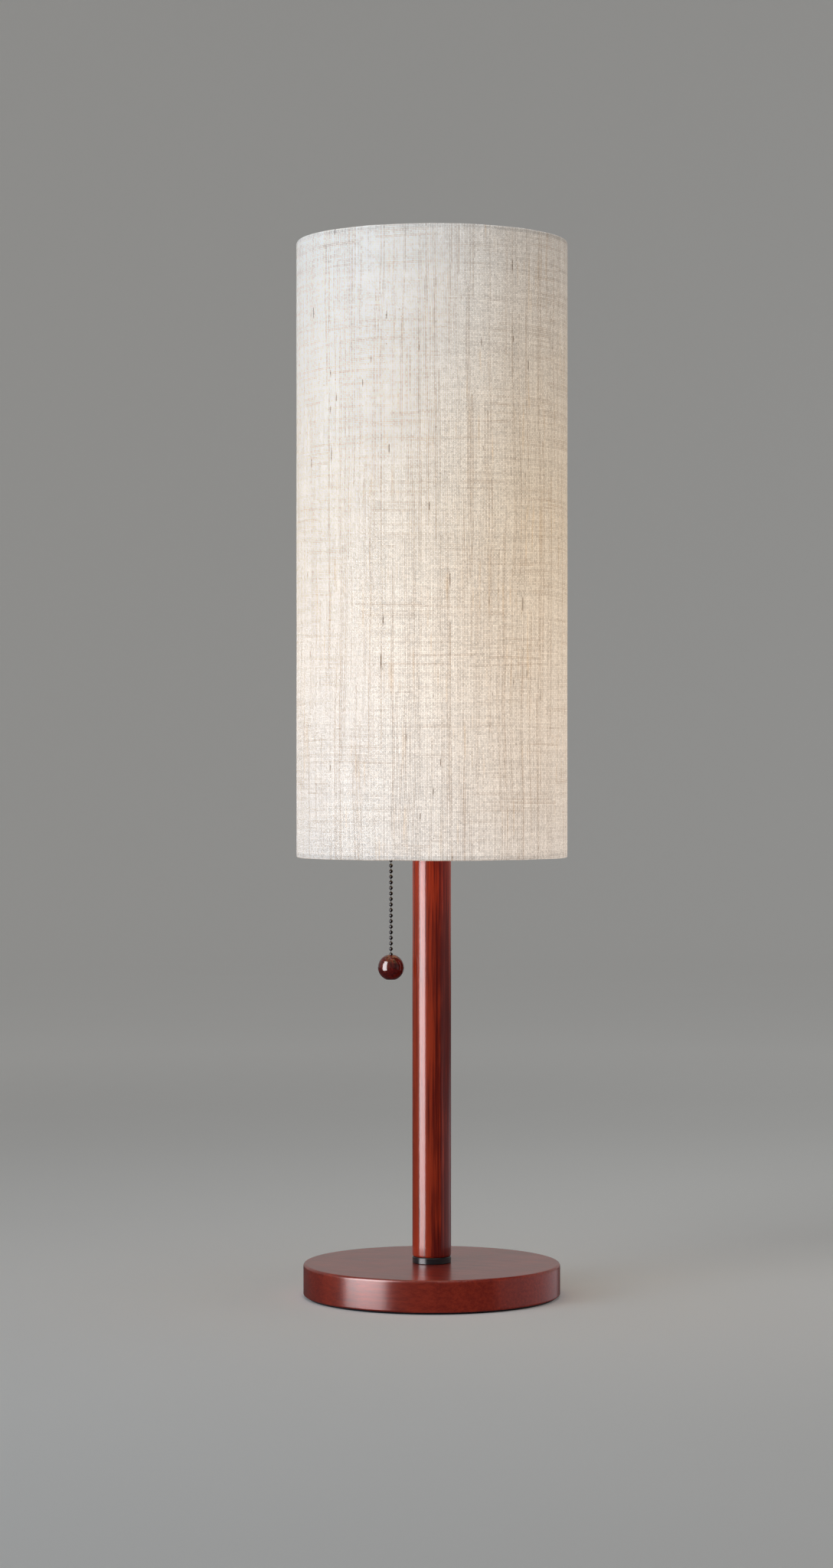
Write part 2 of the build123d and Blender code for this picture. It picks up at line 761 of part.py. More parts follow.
# Pull chain
with BuildPart() as chain_guide:
    guide_top = case_floor_top + guide_wall
    with BuildSketch(pull_plane):
        with BuildLine():
            guide_middle = guide_bore + guide_wall / 2
            Line((guide_middle, guide_top), (guide_middle, guide_mouth + guide_lip))
            CenterArc((guide_middle + guide_lip, guide_mouth + guide_lip), guide_lip, 180, 90)
        trace(line_width=guide_wall)
        with Locations((guide_bore, case_floor_top)):
            Rectangle(guide_flange - guide_bore, guide_wall, align=(Align.MIN, Align.MIN))
    revolve(axis=pull_axis)
chain_guide.part.label = "chain_guide"

link_play = bead_pitch - 2 * bead_radius - running_gap
chain_head = bead_chain(top_bead, guided_bead_count, 0.0, link_play)
chain_head.part.label = "chain_head"

chain_knuckle = bead_chain(knuckle, 1, 0.0, 0.0)
chain_knuckle.part.label = "chain_knuckle"

pull_chain = bead_chain(hanging_top, hanging_bead_count, link_play, 0.0)
pull_chain.part.label = "pull_chain"

with BuildPart() as pull_ball:
    with BuildSketch(pull_plane):
        with BuildLine():
            round_side = CenterArc((0, ball_middle), ball_radius, -90, 180)
            Line(round_side @ 1, round_side @ 0)
        make_face()
    revolve(axis=pull_axis)
    with BuildSketch(Plane.XY.offset(stop_top)):
        with Locations((-chain_offset, 0)):
            Circle(ball_bore)
    extrude(amount=ball_diameter, mode=Mode.SUBTRACT)
    with BuildSketch(Plane.XY.offset(stop_top)):
        with Locations((-chain_offset, 0)):
            Circle(ball_pocket)
    extrude(amount=-ball_diameter, mode=Mode.SUBTRACT)
    with BuildSketch(pull_plane):
        sink = ball_countersink - ball_bore
        with Locations((0, ball_middle + ball_radius)):
            Polygon((0, 0), (ball_countersink, 0), (ball_bore, -sink), (0, -sink), align=None)
    revolve(axis=pull_axis, mode=Mode.SUBTRACT)
pull_ball.part.label = "pull_ball"

with BuildPart() as ball_stop:
    with BuildSketch(Plane.XY.offset(stop_top)):
        with Locations((-chain_offset, 0)):
            Circle(ball_pocket - slip_gap)
            Circle(link_radius + running_gap, mode=Mode.SUBTRACT)
    extrude(amount=-stop_thickness)
ball_stop.part.label = "ball_stop"

# Bulb
with BuildPart() as bulb_contact:
    with BuildSketch(Plane.XY.offset(bulb_low)):
        Circle(bulb_tip_radius)
    extrude(amount=bulb_tip_height)
    fillet(bulb_contact.edges().group_by(Axis.Z)[0], bulb_tip_height / 2)
bulb_contact.part.label = "bulb_contact"

with BuildPart() as bulb_insulator:
    cone_low = bulb_low + bulb_tip_height
    with BuildSketch(Plane.XZ):
        Polygon(
            (0, cone_low),
            (bulb_tip_radius, cone_low),
            (bulb_cone_radius, cone_low + bulb_cone_height),
            (0, cone_low + bulb_cone_height),
            align=None,
        )
    revolve(axis=Axis.Z)
bulb_insulator.part.label = "bulb_insulator"

with BuildPart() as bulb_cap:
    cap_low = bulb_low + bulb_tip_height + bulb_cone_height
    with BuildSketch(Plane.XY.offset(cap_low)):
        Circle(bulb_cap_radius)
    extrude(amount=bulb_cap_height)
    with BuildSketch(Plane.XY.offset(cap_low + bulb_cap_wall)):
        Circle(bulb_cap_radius - bulb_cap_wall)
    extrude(amount=bulb_cap_height, mode=Mode.SUBTRACT)
bulb_cap.part.label = "bulb_cap"

with BuildPart() as bulb_glass:
    add(revolve(bulb_outline(0.0), axis=Axis.Z, mode=Mode.PRIVATE))
    add(revolve(bulb_outline(bulb_wall), axis=Axis.Z, mode=Mode.PRIVATE), mode=Mode.SUBTRACT)
bulb_glass.part.label = "bulb_glass"

# One STEP file for each piece
pieces = (
    (base_felt, base_disc, base_weight, weight_screws, base_washer, base_nut, cord_bushing)
    + (pole_collar, pole, lamp_pipe, pole_cap, harp_saddle, saddle_nut, harp_bow, front_ferrule)
    + (back_ferrule, harp_stud, finial, shade_cloth, shade_liner, top_hoop, bottom_hoop, spider_hub)
    + (spider_arms, switch_case, neck_screw, socket_shell, case_screws, screw_shell, centre_contact)
    + (switch_block, terminal_screws, lever_pin, pull_lever, lever_spring, chain_guide, chain_head)
    + (chain_knuckle, pull_chain, pull_ball, ball_stop, bulb_contact, bulb_insulator, bulb_cap)
    + (bulb_glass,)
)
os.makedirs("parts", exist_ok=True)
for piece in pieces:
    export_step(piece.part, f"parts/{piece.part.label}.step")
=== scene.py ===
"""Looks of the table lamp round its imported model: linen shade, stained wood, bead chain, light and camera.

Metres, in the model's own frame: +Z up, the origin on the table under the base, the lamp's front towards -Y.
"""

from math import cos, pi, radians, sin, tan, tau

import bpy
import numpy as np
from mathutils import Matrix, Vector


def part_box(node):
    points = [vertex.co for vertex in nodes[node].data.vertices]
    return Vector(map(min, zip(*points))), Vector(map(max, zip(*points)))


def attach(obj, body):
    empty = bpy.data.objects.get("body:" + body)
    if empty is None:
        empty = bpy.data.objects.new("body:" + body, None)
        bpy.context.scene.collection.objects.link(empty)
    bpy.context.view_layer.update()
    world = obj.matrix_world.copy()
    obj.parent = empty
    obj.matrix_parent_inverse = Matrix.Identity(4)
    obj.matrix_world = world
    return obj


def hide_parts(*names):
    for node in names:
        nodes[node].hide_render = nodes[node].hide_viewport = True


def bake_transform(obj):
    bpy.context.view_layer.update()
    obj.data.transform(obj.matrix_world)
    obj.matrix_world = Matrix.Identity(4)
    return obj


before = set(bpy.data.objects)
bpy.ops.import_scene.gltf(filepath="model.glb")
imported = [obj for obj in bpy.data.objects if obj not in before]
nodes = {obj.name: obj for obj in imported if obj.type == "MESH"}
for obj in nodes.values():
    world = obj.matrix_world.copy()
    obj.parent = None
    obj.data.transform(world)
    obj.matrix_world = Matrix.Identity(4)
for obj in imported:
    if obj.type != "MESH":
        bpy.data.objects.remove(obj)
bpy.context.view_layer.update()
mm = 0.001


class Socket:
    """A shader socket that takes part in arithmetic: each operator adds one Math node to its finish."""

    def __init__(self, finish, socket):
        self.finish = finish
        self.socket = socket

    def math(self, operation, *terms):
        return self.finish.add("ShaderNodeMath", {"operation": operation}, dict(enumerate(terms)))

    def __add__(self, other):
        return self.math("ADD", self, other)

    def __sub__(self, other):
        return self.math("SUBTRACT", self, other)

    def __rsub__(self, other):
        return self.math("SUBTRACT", other, self)

    def __mul__(self, other):
        return self.math("MULTIPLY", self, other)

    def __truediv__(self, other):
        return self.math("DIVIDE", self, other)

    def __pow__(self, other):
        return self.math("POWER", self, other)

    __radd__ = __add__
    __rmul__ = __mul__

    def wave(self):
        """The cosine, from -1 to 1."""
        return self.math("COSINE", self)

    def bell(self):
        """A bell curve, one at zero: e to the power of minus half the square."""
        return self.math("EXPONENT", self * self * -0.5)

    def floor(self):
        return self.math("FLOOR", self)

    def most(self, other):
        """The larger of the two."""
        return self.math("MAXIMUM", self, other)


class Finish:
    """A material under way. add() makes any node, and the other methods are those that finishes share."""

    def __init__(self, name):
        self.material = bpy.data.materials.new(name)
        self.material.use_nodes = True
        self.tree = self.material.node_tree
        self.shader = self.tree.nodes["Principled BSDF"]
        self.material.cycles.emission_sampling = "NONE"

    def add(self, kind, settings=None, sockets=None, out=0):
        """One node: its settings first, then the value or link of each socket, by number or by name."""
        node = self.tree.nodes.new(kind)
        for name, value in (settings or {}).items():
            setattr(node, name, value)
        for name, value in (sockets or {}).items():
            self.join(node.inputs[name], value)
        return Socket(self, node.outputs[out])

    def join(self, entry, value):
        """Links a socket to an input, or sets the input's own value; a three-part colour gets its alpha."""
        if isinstance(value, Socket):
            self.tree.links.new(value.socket, entry)
        elif hasattr(value, "__len__") and entry.type == "RGBA":
            entry.default_value = (*value, 1.0)
        else:
            entry.default_value = value

    def coat(self, **sockets):
        """Sets or links the shader's sockets: base_color is Base Color, and so on."""
        for name, value in sockets.items():
            words = [w.upper() if w == "ior" else w.title() for w in name.split("_")]
            self.join(self.shader.inputs[" ".join(words)], value)
        return self.material

    def place(self):
        """The place on the object, in metres."""
        return self.add("ShaderNodeTexCoord", out="Object")

    def stretch(self, place, x, y, z=1.0):
        """The place with each axis multiplied, which sets how long a pattern is along it."""
        return self.add("ShaderNodeVectorMath", {"operation": "MULTIPLY"}, {0: place, 1: (x, y, z)})

    def turn(self, place, x=0.0, y=0.0, z=0.0):
        """The place turned by angles in degrees."""
        angles = tuple(radians(a) for a in (x, y, z))
        return self.add("ShaderNodeMapping", {}, {"Vector": place, "Rotation": angles})

    def noise(self, place, detail, rough=0.5, bend=0.0):
        """Soft noise from 0 to 1 with features about one unit long."""
        sockets = {"Vector": place, "Scale": 1.0, "Detail": detail, "Roughness": rough, "Distortion": bend}
        return self.add("ShaderNodeTexNoise", {}, sockets, out="Fac")

    def lot(self, x, y):
        """A value from 0 to 1 drawn anew for each pair of whole numbers."""
        return self.add("ShaderNodeTexWhiteNoise", {"noise_dimensions": "2D"}, {"Vector": self.pair(x, y)})

    def step(self, value, low, high, start=0.0, end=1.0):
        """A smooth step from start to end while value goes from low to high."""
        sockets = {0: value, 1: low, 2: high, 3: start, 4: end}
        return self.add("ShaderNodeMapRange", {"interpolation_type": "SMOOTHSTEP"}, sockets)

    def blend(self, share, first, second, way="MIX"):
        """Two colours mixed by a share."""
        settings = {"data_type": "RGBA", "blend_type": way, "clamp_result": False}
        return self.add("ShaderNodeMix", settings, {0: share, 6: first, 7: second}, out=2)

    def tint(self, colour, value):
        """A colour made lighter or darker by a value."""
        return self.add("ShaderNodeVectorMath", {"operation": "SCALE"}, {0: colour, "Scale": value})

    def bump(self, height, depth, strength):
        """A normal from a height from 0 to 1 that stands for a depth in metres."""
        return self.add("ShaderNodeBump", {}, {"Height": height, "Distance": depth, "Strength": strength})

    def split(self, place):
        """The three parts of a place."""
        parts = self.add("ShaderNodeSeparateXYZ", {}, {0: place}).socket.node.outputs
        return [Socket(self, part) for part in parts]

    def pair(self, x, y):
        """A flat place from two values."""
        return self.add("ShaderNodeCombineXYZ", {}, {0: x, 1: y})


def grid_mesh(name, points, wrap_v=False, chart=None):
    """A mesh from a grid of points that closes on itself in its first direction, or with wrap_v in both.

    Each face joins four neighbours. chart is the flat place of each point, with one more row and column for
    the seams.
    """
    rows, cols = points.shape[:2]
    i, j = np.meshgrid(np.arange(rows), np.arange(cols if wrap_v else cols - 1), indexing="ij")
    up, along = np.stack([i, i + 1, i + 1, i], -1), np.stack([j, j, j + 1, j + 1], -1)
    corners = (up % rows * cols + along % cols).reshape(-1, 4)
    mesh = bpy.data.meshes.new(name)
    mesh.vertices.add(rows * cols)
    mesh.vertices.foreach_set("co", points.astype(np.float32).ravel())
    mesh.loops.add(corners.size)
    mesh.loops.foreach_set("vertex_index", corners.astype(np.int32).ravel())
    mesh.polygons.add(len(corners))
    mesh.polygons.foreach_set("loop_start", np.arange(len(corners), dtype=np.int32) * 4)
    if chart is not None:
        mesh.uv_layers.new(name="cloth").data.foreach_set("uv", chart[up, along].astype(np.float32).ravel())
    mesh.update(calc_edges=True)
    mesh.validate()
    mesh.shade_smooth()
    return mesh


def lathe(profile, turns, centre=(0.0, 0.0), wobble=0.0):
    """Points of a profile of radius and height carried round an upright line by cosine and sine."""
    angle = np.linspace(0, tau, turns, endpoint=False)[:, None]
    radius, height = profile[None, :, 0] + wobble, profile[None, :, 1]
    x, y = centre[0] + radius * np.cos(angle), centre[1] + radius * np.sin(angle)
    return np.stack(np.broadcast_arrays(x, y, height), -1)


def rounded(corners, radii, steps):
    """A closed outline with each corner replaced by an arc, in steps, that touches both of its sides.

    The arc's middle lies on the line that halves the corner, at the radius over the sine of the half angle.
    """
    here = np.asarray(corners, float)
    back, ahead = np.roll(here, 1, 0) - here, np.roll(here, -1, 0) - here
    back /= np.linalg.norm(back, axis=1, keepdims=True)
    ahead /= np.linalg.norm(ahead, axis=1, keepdims=True)
    radius = np.maximum(np.asarray(radii, float), 1e-7)[:, None]
    half = np.arccos(np.clip((back * ahead).sum(1), -1, 1))[:, None] / 2
    inward = (back + ahead) / np.linalg.norm(back + ahead, axis=1, keepdims=True)
    middle = here + inward * radius / np.sin(half)
    first, last = here + back * radius / np.tan(half) - middle, here + ahead * radius / np.tan(half) - middle
    swing = pi - 2 * half
    share = np.linspace(0, 1, steps)[None, :]
    a, b = np.sin((1 - share) * swing) / np.sin(swing), np.sin(share * swing) / np.sin(swing)
    arcs = middle[:, None] + a[..., None] * first[:, None] + b[..., None] * last[:, None]
    return arcs.reshape(-1, 2)


def filled(outline, reach):
    """The outline with points added on its long straight runs, no further apart than reach."""
    ends = np.roll(outline, -1, 0)
    runs = np.linalg.norm(ends - outline, axis=1)
    parts = np.maximum(np.ceil(runs / reach).astype(int), 1)
    owner = np.repeat(np.arange(len(outline)), parts)
    share = (np.arange(parts.sum()) - np.repeat(np.cumsum(parts) - parts, parts)) / parts[owner]
    return outline[owner] * (1 - share[:, None]) + ends[owner] * share[:, None]


def put(name, points, material, body, stands_for, chart=None):
    """A finished piece: a closed mesh with a material, which rides a body, if any, and stands for a node."""
    mesh = grid_mesh(name, points, True, chart)
    piece = bpy.data.objects.new(name, mesh)
    bpy.context.scene.collection.objects.link(piece)
    mesh.materials.append(material)
    if body:
        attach(piece, body)
    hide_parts(stands_for)
    return piece


def dress(material, *names):
    """Gives CAD nodes a finish in place of their plain one."""
    for name in names:
        nodes[name].data.materials.clear()
        nodes[name].data.materials.append(material)


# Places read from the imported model
shade_low, shade_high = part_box("shade_cloth")
shade_radius, shade_bottom, shade_top = shade_high.x, shade_low.z, shade_high.z
top_hem, bottom_hem, seam_lap = 34 * mm, 9 * mm, 13 * mm
pole_low, pole_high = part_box("pole")
pole_radius = pole_high.x
base_low, base_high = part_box("base_disc")
ball_low, ball_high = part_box("pull_ball")
ball_radius = (ball_high.x - ball_low.x) / 2
chain_x = (ball_high.x + ball_low.x) / 2
ball_pocket = 3.3 * mm
ball_middle = ball_low.z + np.sqrt(ball_radius**2 - ball_pocket**2)
chain_low, chain_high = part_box("pull_chain")
knuckle_low, knuckle_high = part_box("chain_knuckle")
bulb_low, bulb_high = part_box("bulb_glass")
bulb_middle = bulb_high.z - bulb_high.x


def linen():
    """Natural slub linen, lit from inside: warp and weft threads, tone bands, slubs, knots and a warm glow.

    Lengths along the cloth, u round the drum and v up its wall, are in millimetres.
    """
    f = Finish("slub_linen")
    u, v, _ = f.split(f.stretch(f.add("ShaderNodeUVMap", {"uv_map": "cloth"}), 1 / mm, 1 / mm))

    # Threads, which wander a little: where each one is, its number, and its round height
    warp_pitch, weft_pitch = 1.25, 1.3
    warp_at = (u + f.noise(f.pair(u / 80, v / 160), detail=1) * 9) / warp_pitch
    weft_at = (v + f.noise(f.pair(u / 140, v / 70), detail=1) * 7) / weft_pitch
    end, pick = warp_at.floor(), weft_at.floor()
    warp = 0.5 - (warp_at * tau).wave() * 0.5
    weft = 0.5 - (weft_at * tau).wave() * 0.5
    over = (warp_at * pi - pi / 2).wave() * (weft_at * pi - pi / 2).wave()

    # Draws for each length of warp, each length of weft and each crossing, and soft changes of tone
    thread = f.lot(end, (v / 190 + f.lot(end, 0.5) * 9).floor())
    cross = f.lot((u / 55 + f.lot(pick, 7.5) * 9).floor(), pick + 0.25)
    knit = f.lot(end + 0.5, pick)
    yarn = f.noise(f.pair(end * 1.37 + 0.31, v / 38), detail=1)
    bands = f.noise(f.pair(u / 10, v / 420), detail=3, rough=0.65)
    belts = f.noise(f.pair(u / 260, v / 13), detail=3, rough=0.6)
    fleck = f.noise(f.pair(u / 0.9, v / 1.2), detail=1)
    cloud = f.step(f.noise(f.pair(u / 45, v / 60), detail=2), 0.35, 0.65)
    patch = f.step(f.noise(f.pair(u / 40, v / 34 + 6), detail=1.5), 0.40, 0.62)
    tone = 1.085 + (bands - 0.5) * 0.10 + (belts - 0.5) * 0.07 + (fleck - 0.5) * 0.20 + over * 0.03
    tone = tone - (1 - warp.most(weft * 0.85)) * 0.22 - (1 - warp) * 0.09
    tone = tone - (thread - 0.5) * 0.07 - (cross - 0.5) * 0.06 - (yarn - 0.5) * 0.06 - (knit - 0.5) * 0.17

    # Brown lines beside some threads, dark slubs and knots, and rusty lengths
    line = thread**3 * (1 - warp) ** 1.5 * (yarn * 1.8 - 0.2)
    cord = cross**4 * (1 - weft) ** 1.5 * (patch * 0.8 + 0.2)
    brown = (line * 0.95).most(cord * 0.6)
    slub = f.noise(f.pair(end * 7.3 + 0.5, v / 26 + f.lot(end, 2.5) * 60), detail=1.5)
    slub = f.step(slub, 0.70, 0.76) * warp
    knot = f.step(f.noise(f.pair(u / 1.4 + 5, v / 1.9), detail=1), 0.77, 0.80)
    dark = (slub * 0.9).most(knot * 0.8)
    rusty = f.step(f.noise(f.pair(end * 0.97 + 31, v / 60), detail=1), 0.58, 0.70)
    rusty = rusty * f.step(f.noise(f.pair(u / 31 + 3, v / 45), detail=1), 0.45, 0.62)

    # Colour of the cloth itself
    flax = f.blend(cloud, (0.79, 0.755, 0.715), (0.765, 0.74, 0.71))
    flax = f.blend(rusty * 0.35, flax, (0.70, 0.53, 0.39))
    flax = f.blend(brown, flax, (0.52, 0.35, 0.22))
    flax = f.blend(dark, flax, (0.16, 0.095, 0.055))

    # Painted light in the emission, for light that comes through the cloth: warm round the bulb, and a
    # neutral part for the studio light that is brighter towards the bottom; weaker where hem and hoop lie
    # behind
    height = f.split(f.place())[2]
    glow_height, glow_spread = 0.50, 0.17
    glow = ((height - glow_height) / glow_spread).bell()
    warm = f.blend(glow, (0.0, 0.0, 0.0), (0.22, 0.122, 0.01))
    neutral = f.blend(f.step(height, 0.41, 0.61, 1.0, 0.0), (0.30, 0.28, 0.262), (0.40, 0.378, 0.372))
    hem = f.step(height, shade_top - top_hem - 0.5 * mm, shade_top - top_hem + 0.5 * mm, 1.0, 0.94)
    rim = f.step(height, shade_top - 3.6 * mm, shade_top - 2.6 * mm, 1.0, 0.7)
    foot = f.step(height, shade_bottom + 2.8 * mm, shade_bottom + 4.0 * mm, 0.80, 1.0)
    lit = f.tint(f.blend(1.0, warm, neutral, "ADD"), (tone * 1.8 - 0.76) * hem * rim * foot)
    lit = f.blend(rusty * 0.5, lit, (0.96, 0.82, 0.64), "MULTIPLY")
    lit = f.blend(brown, lit, (0.56, 0.40, 0.27), "MULTIPLY")
    lit = f.blend(dark, lit, (0.20, 0.14, 0.10), "MULTIPLY")

    relief = warp * (over * 0.2 + 0.8) + weft * (0.55 - over * 0.2) + thread * 0.6 + slub * 0.8 + knot * 0.8
    return f.coat(
        base_color=f.tint(flax, tone),
        roughness=0.92,
        sheen_weight=0.06,
        sheen_roughness=0.6,
        specular_ior_level=0.05,
        emission_color=lit,
        emission_strength=1.0,
        normal=f.bump(relief * 0.35, 0.4 * mm, 0.5),
    )


def stained_wood(
    name,
    light,
    dark,
    grain,
    gloss,
    lean=(0, 0, 0),
    figure=1.0,
    lacquer=1.0,
    crown=None,
    painted_shade_run=None,
    bare=None,
):
    """Cherry-stained wood under gloss lacquer: long grain, fine pores, a few dents and a faint ripple.

    grain is how often the grain changes in a metre along each axis, after the wood is turned by lean.
    figure is how strongly the grain shows, lacquer the lacquer's weight and gloss its roughness. crown is
    the middle, the half height and the swell of an edge that was turned slightly round. painted_shade_run is
    the run along x across which the colour darkens, a painted shade on the side away from the key lights.
    bare is the axis, the radius and the lowest height of a lighter patch round the top of a
    bore, a painted reflection of the lit shade above it.
    """
    f = Finish(name)
    place = f.turn(f.place(), *lean)
    long = f.noise(f.stretch(place, *grain), detail=4, rough=0.62, bend=0.3)
    fine = f.noise(f.stretch(place, *(g * 3.4 for g in grain)), detail=3, rough=0.6)
    cloud = f.noise(f.stretch(place, 42, 42, 14), detail=2)
    pore = f.step(f.noise(f.stretch(place, *(g * 4.1 for g in grain)), detail=1), 0.66, 0.74)
    rings = 0.57 + ((long - 0.5) * 1.2 + (fine - 0.5) * 0.5 + (cloud - 0.5) * 0.6) * figure
    # Painted shade: the colour darkens across the middle along x, on the side away from the key lights.
    if painted_shade_run:
        stray = f.noise(f.stretch(f.place(), 90, 20, 5), detail=2) - 0.5
        edge = f.split(f.place())[0] + stray * (6 * mm)
        rings = rings + f.step(edge, *painted_shade_run, -0.12, 0.16)
    colour = f.blend(f.step(rings, 0.36, 0.80), light, dark)
    colour = f.blend(pore * 0.45, colour, tuple(c * 0.35 for c in dark))
    # Painted reflection: a lighter patch round the top of the bore stands for the lit shade mirrored there.
    if bare:
        axis, reach, lowest = bare
        x, y, z = f.split(f.place())
        inside = f.step((x - axis) ** 2 + y * y, (reach * 0.9) ** 2, (reach * 1.1) ** 2, 1.0, 0.0)
        inside = inside * f.step(z, lowest - 0.2 * mm, lowest + 0.2 * mm)
        colour = f.blend(inside, colour, (0.56, 0.30, 0.22))
    dent = f.add("ShaderNodeTexVoronoi", {"feature": "F1"}, {"Vector": place, "Scale": 46.0}, out="Distance")
    dent = f.step(dent, 0.05, 0.12) * f.step(cloud, 0.5, 0.62)
    ripple = f.noise(f.stretch(place, 260, 260, 90), detail=2)
    skin = f.bump(ripple * 0.5 + dent * 0.25 + long * 0.2 - pore * 0.1, 0.12 * mm, 0.5)
    if crown:
        middle, half, swell = crown
        rise = (f.split(f.place())[2] - middle) / half
        skin = f.add("ShaderNodeBump", {}, {"Height": 1 - rise * rise, "Distance": swell, "Normal": skin})
    return f.coat(
        base_color=colour,
        roughness=0.40 + (fine - 0.5) * 0.12,
        specular_ior_level=0.1,
        specular_tint=(1.0, 0.36, 0.22),
        coat_weight=lacquer,
        coat_roughness=gloss,
        coat_ior=1.5,
        normal=skin,
    )


def metal(name, colour, rough, streak=(900, 900, 60), shade=0.18):
    """Plated metal with faint drawing lines and a little cloudiness in its shine."""
    f = Finish(name)
    place = f.place()
    lines = f.noise(f.stretch(place, *streak), detail=3)
    cloud = f.noise(f.stretch(place, 120, 120, 120), detail=2)
    return f.coat(
        base_color=f.tint(colour, 1.0 + (cloud - 0.5) * shade),
        metallic=1.0,
        roughness=rough + (lines - 0.5) * 0.10,
        normal=f.bump(lines, 0.03 * mm, 0.25),
    )


def moulded(name, colour, rough, grain, depth=0.03 * mm):
    """Gloss paint, moulded resin or styrene: a fine orange-peel skin with slightly uneven shine."""
    f = Finish(name)
    place = f.place()
    skin = f.noise(f.stretch(place, grain, grain, grain), detail=2)
    cloud = f.noise(f.stretch(place, 90, 90, 90), detail=2)
    colour = f.blend(cloud, tuple(c * 0.86 for c in colour), tuple(min(c * 1.14, 1.0) for c in colour))
    return f.coat(
        base_color=colour, roughness=rough + (cloud - 0.5) * 0.12, normal=f.bump(skin, depth, 0.35)
    )


def felt():
    """Black pressed felt: matted fibres in a fine tangle."""
    f = Finish("black_felt")
    place = f.place()
    mat = f.noise(f.stretch(place, 900, 900, 900), detail=4, rough=0.7, bend=1.2)
    lint = f.step(f.noise(f.stretch(f.turn(place, z=35), 2600, 300, 900), detail=1), 0.68, 0.76)
    colour = f.blend(f.step(mat, 0.3, 0.75), (0.010, 0.010, 0.011), (0.045, 0.044, 0.043))
    return f.coat(
        base_color=f.blend(lint * 0.3, colour, (0.10, 0.10, 0.10)),
        roughness=0.97,
        sheen_weight=0.4,
        sheen_roughness=0.5,
        specular_ior_level=0.1,
        normal=f.bump(mat, 0.6 * mm, 0.6),
    )


def lit_glass():
    """Frosted bulb glass, brightest round its middle, where the lamp burns."""
    f = Finish("frosted_glass")
    frost = f.noise(f.stretch(f.place(), 700, 700, 700), detail=3)
    height = f.split(f.place())[2]
    burn = f.step(height, bulb_low.z + 12 * mm, bulb_middle, 0.25, 1.0)
    return f.coat(
        base_color=f.blend(frost, (0.86, 0.85, 0.82), (0.94, 0.93, 0.91)),
        roughness=0.45 + (frost - 0.5) * 0.2,
        emission_color=f.tint(f.blend(burn, (1.0, 0.62, 0.28), (1.0, 0.80, 0.52)), burn),
        emission_strength=4.0,
    )


def styrene():
    """White shade backing, with the cloth's threads showing faintly and the bulb's light on it."""
    f = Finish("white_backing")
    place = f.place()
    height = f.split(place)[2]
    print_through = f.noise(f.stretch(place, 500, 500, 25), detail=2)
    glow_height, glow_spread = 0.525, 0.14
    glow = ((height - glow_height) / glow_spread).bell()
    return f.coat(
        base_color=f.blend(print_through, (0.80, 0.775, 0.73), (0.88, 0.86, 0.82)),
        roughness=0.55 + (print_through - 0.5) * 0.1,
        emission_color=f.blend(glow, (0.10, 0.085, 0.06), (0.34, 0.24, 0.12)),
        emission_strength=1.0,
        normal=f.bump(print_through, 0.2 * mm, 0.3),
    )


